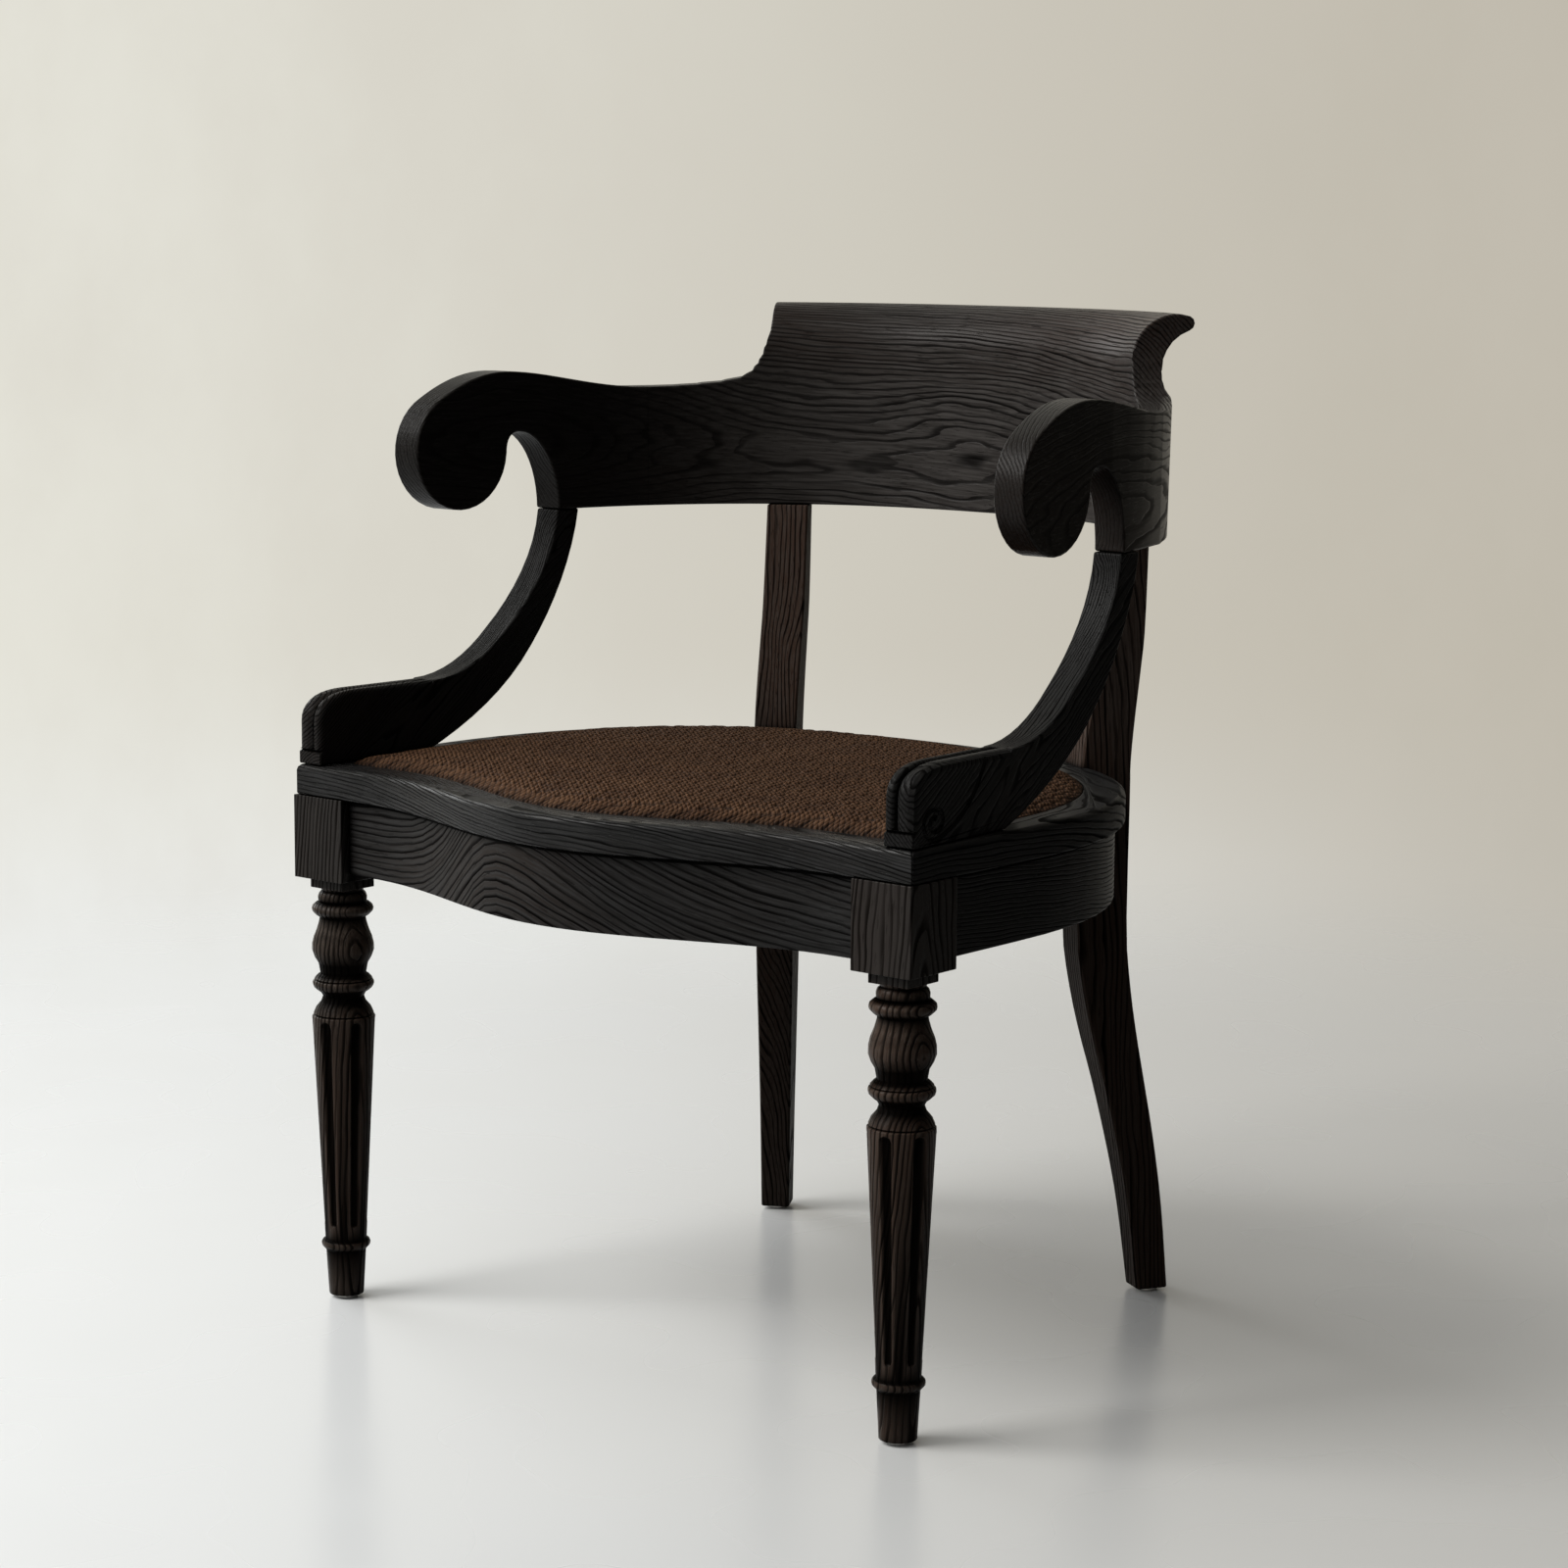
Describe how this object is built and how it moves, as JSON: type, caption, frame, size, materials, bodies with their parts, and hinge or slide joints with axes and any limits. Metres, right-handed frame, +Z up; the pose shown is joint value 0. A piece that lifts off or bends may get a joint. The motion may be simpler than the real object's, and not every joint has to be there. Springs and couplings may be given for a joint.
{
  "type": "klismos armchair",
  "caption": "Dark wooden armchair with a horseshoe back rolled over at the crest, hooked scroll arms, turned fluted front legs, sabre rear legs and a woven cord seat.",
  "frame": {"origin": "on the floor under the middle of the chair's bounding box", "axes": "+Z up, the front faces -Y, nodes named left lie at -X and nodes named right at +X"},
  "size_m": [0.6396, 0.617, 0.8098],
  "materials": {
    "stained_wood": "black-brown stain on open grain, satin",
    "inner_wood": "plain unstained inner wood",
    "seat_cord": "dark brown twisted cord, closely woven",
    "glide_steel": "pressed steel glide, dull",
    "fastener_steel": "plain steel"
  },
  "bodies": {
    "root": {"back_panel": "stained_wood", "arm_left": "stained_wood", "arm_tenon_left": "inner_wood", "arm_right": "stained_wood", "arm_tenon_right": "inner_wood", "arm_support_left": "stained_wood", "support_foot_dowel_left": "inner_wood", "support_top_dowel_left": "inner_wood", "arm_support_right": "stained_wood", "support_foot_dowel_right": "inner_wood", "support_top_dowel_right": "inner_wood", "front_leg_left": "stained_wood", "rear_leg_left": "stained_wood", "stile_dowel_left": "inner_wood", "front_glide_left": "glide_steel", "rear_glide_left": "glide_steel", "rear_leg_bolt_left": "fastener_steel", "front_leg_right": "stained_wood", "rear_leg_right": "stained_wood", "stile_dowel_right": "inner_wood", "front_glide_right": "glide_steel", "rear_glide_right": "glide_steel", "rear_leg_bolt_right": "fastener_steel", "front_apron": "stained_wood", "back_apron": "stained_wood", "seat_rim_front": "stained_wood", "seat_rim_back": "stained_wood", "woven_seat": "seat_cord", "seat_board": "inner_wood", "side_apron_left": "stained_wood", "seat_rim_left": "stained_wood", "corner_block_left": "inner_wood", "rear_leg_block_left": "inner_wood", "front_block_screw_left": "fastener_steel", "side_block_screw_left": "fastener_steel", "side_apron_right": "stained_wood", "seat_rim_right": "stained_wood", "corner_block_right": "inner_wood", "rear_leg_block_right": "inner_wood", "front_block_screw_right": "fastener_steel", "side_block_screw_right": "fastener_steel"}
  },
  "joints": []
}
